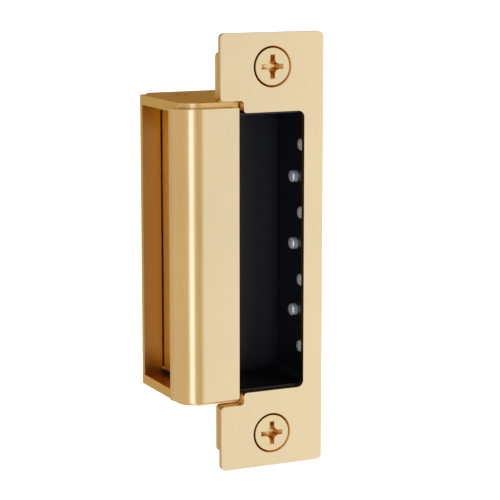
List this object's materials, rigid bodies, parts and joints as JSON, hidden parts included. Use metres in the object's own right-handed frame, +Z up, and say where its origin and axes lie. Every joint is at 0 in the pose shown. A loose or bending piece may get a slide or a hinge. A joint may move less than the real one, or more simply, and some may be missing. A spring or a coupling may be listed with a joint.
{
  "type": "electric door strike",
  "caption": "Gold electric door strike: flat faceplate with a side notch, black latch pocket with domed sensing pins, swinging keeper lip in a bearing frame, solenoid lock behind.",
  "frame": {"origin": "centre of the faceplate's front face", "axes": "+Z up along the faceplate, +Y into the door jamb, +X across the faceplate away from the keeper"},
  "size_m": [0.0442, 0.0404, 0.1238],
  "materials": {
    "gold_front": "satin gold plate",
    "gold_frame": "satin gold plate, darker on the inner and side faces",
    "gold_screw": "satin gold plate",
    "steel": "turned steel",
    "steel_pin": "polished steel",
    "spring_steel": "drawn wire",
    "zinc_sheet": "zinc plated sheet",
    "black_liner": "satin black coat",
    "black_plastic": "moulded, fine grain",
    "red_plastic": "moulded",
    "white_nylon": "moulded nylon",
    "copper_wire": "enamelled copper winding",
    "circuit_board": "solder mask",
    "gold_contact": "plated contact"
  },
  "bodies": {
    "strike_body": {"board_suppressor": "black_plastic", "circuit_board": "circuit_board", "connector_contact_1": "gold_contact", "connector_contact_2": "gold_contact", "connector_contact_3": "gold_contact", "connector_contact_4": "gold_contact", "connector_socket": "white_nylon", "cover_post_lower": "zinc_sheet", "cover_post_upper": "zinc_sheet", "faceplate": "gold_front", "faceplate_screw_lower": "gold_screw", "faceplate_screw_upper": "gold_screw", "keeper_frame": "gold_frame", "keeper_hinge_pin": "gold_frame", "keeper_spring": "spring_steel", "keeper_switch_body": "black_plastic", "latch_pin_spring_1": "spring_steel", "latch_pin_spring_2": "spring_steel", "latch_pin_spring_3": "spring_steel", "latch_pin_spring_4": "spring_steel", "latch_pin_spring_5": "spring_steel", "latch_pin_spring_6": "spring_steel", "latch_pin_spring_7": "spring_steel", "lock_guide_lower": "zinc_sheet", "lock_guide_upper": "zinc_sheet", "lock_switch_body": "black_plastic", "mounting_flange": "gold_frame", "plunger_return_spring": "spring_steel", "pocket_liner": "black_liner", "rear_cover": "zinc_sheet", "rear_cover_screw_1": "steel", "rear_cover_screw_2": "steel", "rear_cover_screw_3": "steel", "rear_cover_screw_4": "steel", "side_cover": "zinc_sheet", "side_cover_screw_1": "steel", "side_cover_screw_2": "steel", "side_cover_screw_3": "steel", "side_cover_screw_4": "steel", "solenoid_bobbin": "white_nylon", "solenoid_coil": "copper_wire", "solenoid_frame": "zinc_sheet", "solenoid_pole_piece": "steel", "solenoid_screw_1": "steel", "solenoid_screw_2": "steel"},
    "keeper": {"keeper": "gold_front"},
    "lock": {"lock_bar": "steel", "solenoid_plunger": "steel"},
    "keeper_switch_plunger": {"keeper_switch_button": "red_plastic"},
    "lock_switch_plunger": {"lock_switch_button": "red_plastic"},
    "latch_pin_1": {"latch_pin_1": "steel_pin"},
    "latch_pin_2": {"latch_pin_2": "steel_pin"},
    "latch_pin_3": {"latch_pin_3": "steel_pin"},
    "latch_pin_4": {"latch_pin_4": "steel_pin"},
    "latch_pin_5": {"latch_pin_5": "steel_pin"},
    "latch_pin_6": {"latch_pin_6": "steel_pin"},
    "latch_pin_7": {"latch_pin_7": "steel_pin"}
  },
  "joints": [
    {"name": "keeper_hinge", "type": "hinge", "parent": "strike_body", "child": "keeper", "pos_m": [-0.0152, 0.0283, 0], "axis": [0, 0, -1], "range_deg": [0, 70], "stiffness_Nm_per_rad": 0.02, "springref_deg": -28.65, "deforming": ["keeper_spring"]},
    {"name": "lock_slide", "type": "slide", "parent": "strike_body", "child": "lock", "axis": [-1, 0, 0], "range_m": [0, 0.0018], "stiffness_N_per_m": 150, "springref_m": -0.002, "deforming": ["plunger_return_spring"]},
    {"name": "keeper_switch_travel", "type": "slide", "parent": "strike_body", "child": "keeper_switch_plunger", "axis": [1, 0, 0], "range_m": [0, 0.0006], "stiffness_N_per_m": 200, "springref_m": -0.0005},
    {"name": "lock_switch_travel", "type": "slide", "parent": "strike_body", "child": "lock_switch_plunger", "axis": [1, 0, 0], "range_m": [0, 0.0006], "stiffness_N_per_m": 200, "springref_m": -0.0005},
    {"name": "latch_pin_1_travel", "type": "slide", "parent": "strike_body", "child": "latch_pin_1", "axis": [1, 0, 0], "range_m": [0, 0.0012], "stiffness_N_per_m": 200, "springref_m": -0.0005, "deforming": ["latch_pin_spring_1"]},
    {"name": "latch_pin_2_travel", "type": "slide", "parent": "strike_body", "child": "latch_pin_2", "axis": [1, 0, 0], "range_m": [0, 0.0012], "stiffness_N_per_m": 200, "springref_m": -0.0005, "deforming": ["latch_pin_spring_2"]},
    {"name": "latch_pin_3_travel", "type": "slide", "parent": "strike_body", "child": "latch_pin_3", "axis": [1, 0, 0], "range_m": [0, 0.0012], "stiffness_N_per_m": 200, "springref_m": -0.0005, "deforming": ["latch_pin_spring_3"]},
    {"name": "latch_pin_4_travel", "type": "slide", "parent": "strike_body", "child": "latch_pin_4", "axis": [1, 0, 0], "range_m": [0, 0.0012], "stiffness_N_per_m": 200, "springref_m": -0.0005, "deforming": ["latch_pin_spring_4"]},
    {"name": "latch_pin_5_travel", "type": "slide", "parent": "strike_body", "child": "latch_pin_5", "axis": [1, 0, 0], "range_m": [0, 0.0012], "stiffness_N_per_m": 200, "springref_m": -0.0005, "deforming": ["latch_pin_spring_5"]},
    {"name": "latch_pin_6_travel", "type": "slide", "parent": "strike_body", "child": "latch_pin_6", "axis": [1, 0, 0], "range_m": [0, 0.0012], "stiffness_N_per_m": 200, "springref_m": -0.0005, "deforming": ["latch_pin_spring_6"]},
    {"name": "latch_pin_7_travel", "type": "slide", "parent": "strike_body", "child": "latch_pin_7", "axis": [1, 0, 0], "range_m": [0, 0.0012], "stiffness_N_per_m": 200, "springref_m": -0.0005, "deforming": ["latch_pin_spring_7"]}
  ]
}
